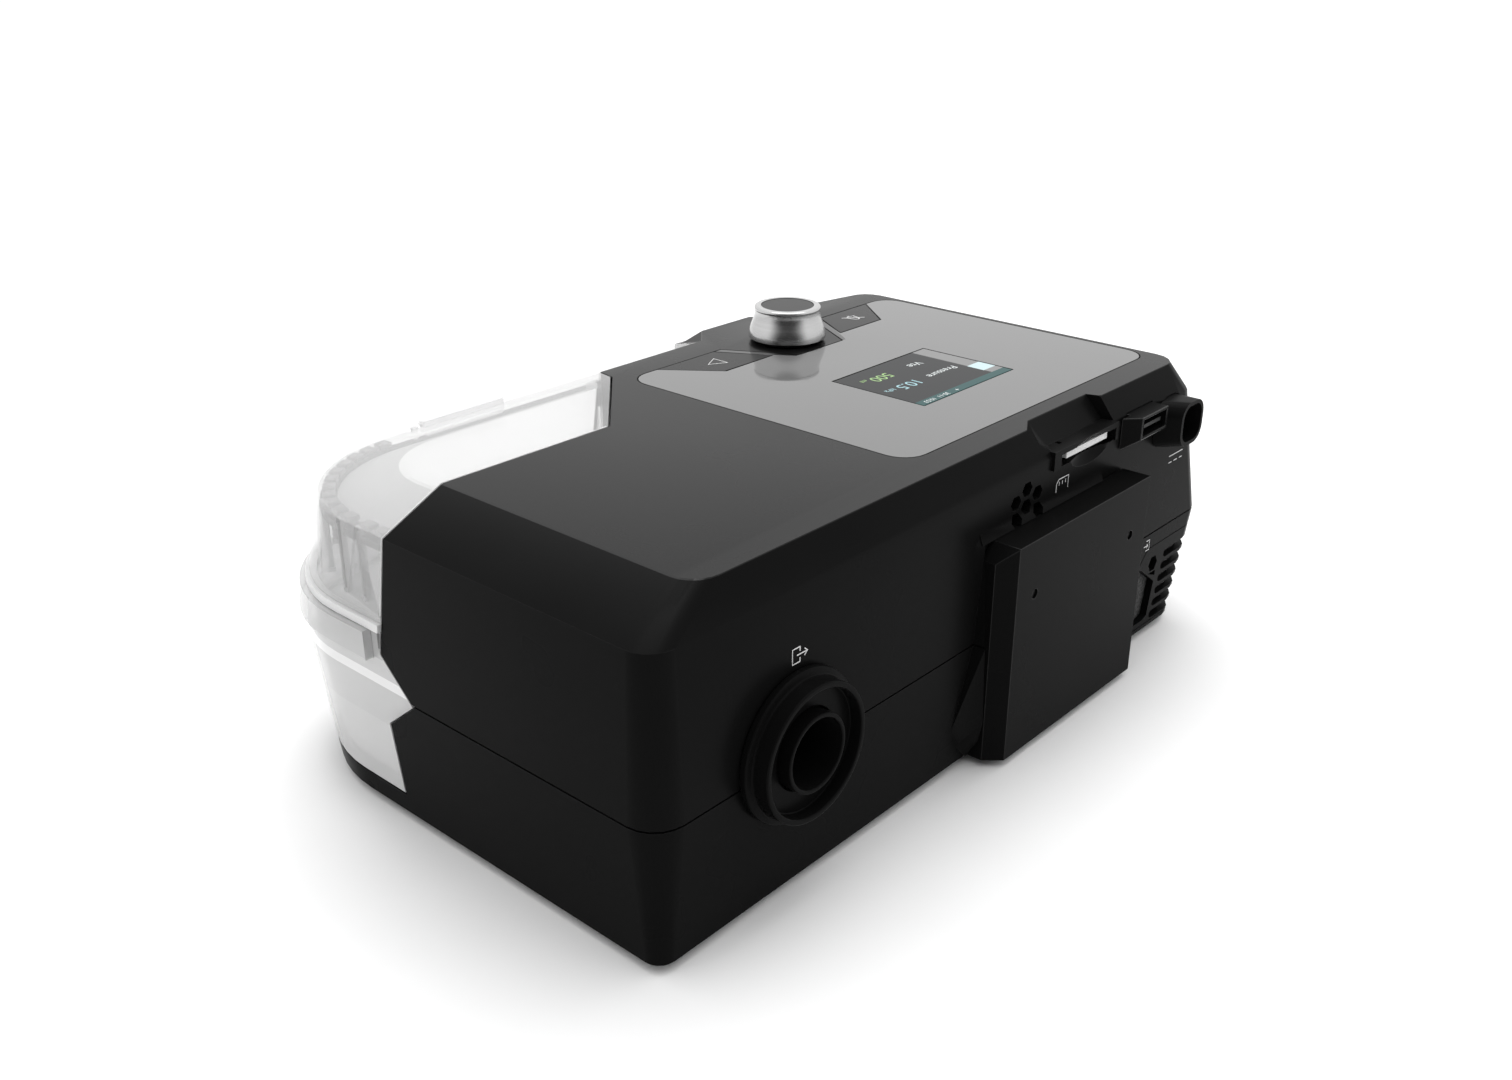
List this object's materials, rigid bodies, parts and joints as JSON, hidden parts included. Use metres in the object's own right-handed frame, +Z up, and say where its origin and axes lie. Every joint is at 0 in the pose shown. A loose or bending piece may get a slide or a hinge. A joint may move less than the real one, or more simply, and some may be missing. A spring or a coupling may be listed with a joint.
{
  "type": "cpap machine",
  "caption": "Desktop breathing-therapy machine with a clear slide-out humidifier chamber, a display panel with knob and keys, and rear hose outlet and ports.",
  "frame": {"origin": "on the ground under the middle of the whole machine", "axes": "+X to the user's right, +Y to the rear with the hose outlet, +Z up"},
  "size_m": [0.2779, 0.1894, 0.1102],
  "materials": {
    "satin_black": "fine satin moulded black plastic",
    "key_black": "satin black key and inlay with thin pale line symbols",
    "panel_grey": "mirror-gloss mid-grey panel",
    "screen_glass": "dark display window with a lit colour screen",
    "inner_plastic": "plain moulded inner plastic",
    "circuit_board": "green circuit board lacquer",
    "steel": "plain bright metal",
    "brushed_knob": "turned, brushed aluminium with a bright rounded rim",
    "black_rubber": "matte black rubber",
    "white_rubber": "white silicone rubber",
    "white_plastic": "plain white plastic",
    "clear_plastic": "clear water-white polycarbonate",
    "frosted_plastic": "frosted clear plastic with a fine speckle",
    "foam": "open dark grey filter foam"
  },
  "bodies": {
    "case": {"upper_shell": "satin_black", "lower_shell": "satin_black", "hose_outlet": "satin_black", "hose_outlet_tube": "satin_black", "data_port": "satin_black", "power_inlet": "satin_black", "rear_box": "satin_black", "top_panel": "panel_grey", "display_window": "screen_glass", "display_module": "inner_plastic", "start_switch": "inner_plastic", "mute_switch": "inner_plastic", "blower_housing_lower": "inner_plastic", "blower_housing_upper": "inner_plastic", "chamber_duct": "inner_plastic", "hose_duct": "inner_plastic", "main_board": "circuit_board", "encoder_body": "steel", "blower_motor": "steel", "heater_plate": "steel", "card_reader": "steel", "power_inlet_pin_1": "steel", "power_inlet_pin_2": "steel", "rear_box_screw_1": "steel", "rear_box_screw_2": "steel", "case_screw_1": "steel", "case_screw_2": "steel", "case_screw_3": "steel", "case_screw_4": "steel", "knob_ring": "black_rubber", "speaker": "black_rubber", "blower_mount_1": "black_rubber", "blower_mount_2": "black_rubber", "blower_mount_3": "black_rubber", "chamber_inlet_seal": "black_rubber", "chamber_outlet_seal": "black_rubber", "data_port_tongue": "black_rubber", "foot_1": "black_rubber", "foot_2": "black_rubber", "foot_3": "black_rubber", "foot_4": "black_rubber", "heater_insulator": "white_rubber", "filter_foam": "foam"},
    "start_key": {"start_button": "key_black"},
    "mute_key": {"mute_button": "key_black"},
    "plunger": {"encoder_plunger": "inner_plastic"},
    "knob": {"knob": "brushed_knob", "knob_inlay": "key_black", "encoder_shaft": "steel"},
    "impeller": {"impeller": "white_plastic"},
    "chamber": {"chamber_tank": "clear_plastic", "chamber_base": "steel", "chamber_gasket": "white_rubber", "lid_hinge_pin": "steel"},
    "lid": {"chamber_lid": "clear_plastic", "lid_baffle": "frosted_plastic", "lid_inner_seal": "black_rubber"},
    "card": {"memory_card": "white_plastic"},
    "filter": {"filter_cover": "satin_black"}
  },
  "joints": [
    {"name": "knob_push", "type": "slide", "parent": "case", "child": "plunger", "axis": [0, 0, -1], "range_m": [0, 0.0005], "stiffness_N_per_m": 500, "springref_m": -0.003},
    {"name": "knob_turn", "type": "hinge", "parent": "plunger", "child": "knob", "pos_m": [-0.04835, -0.03455, 0.1025], "axis": [0, 0, 1], "continuous": true},
    {"name": "start_press", "type": "slide", "parent": "case", "child": "start_key", "axis": [0, 0, -1], "range_m": [0, 0.0006], "stiffness_N_per_m": 400, "springref_m": -0.001},
    {"name": "mute_press", "type": "slide", "parent": "case", "child": "mute_key", "axis": [0, 0, -1], "range_m": [0, 0.0006], "stiffness_N_per_m": 400, "springref_m": -0.001},
    {"name": "impeller_spin", "type": "hinge", "parent": "case", "child": "impeller", "pos_m": [-0.06865, 0.00945, 0.0425], "axis": [0, 0, 1], "continuous": true},
    {"name": "chamber_slide", "type": "slide", "parent": "case", "child": "chamber", "axis": [0, -1, 0], "range_m": [0, 0.11]},
    {"name": "lid_open", "type": "hinge", "parent": "chamber", "child": "lid", "pos_m": [0.05035, -0.09275, 0.0609], "axis": [1, 0, 0], "range_deg": [0, 95]},
    {"name": "card_slide", "type": "slide", "parent": "case", "child": "card", "axis": [0, 1, 0], "range_m": [0, 0.026]},
    {"name": "filter_pull", "type": "slide", "parent": "case", "child": "filter", "axis": [-0.7071, 0.7071, 0], "range_m": [0, 0.02]}
  ]
}
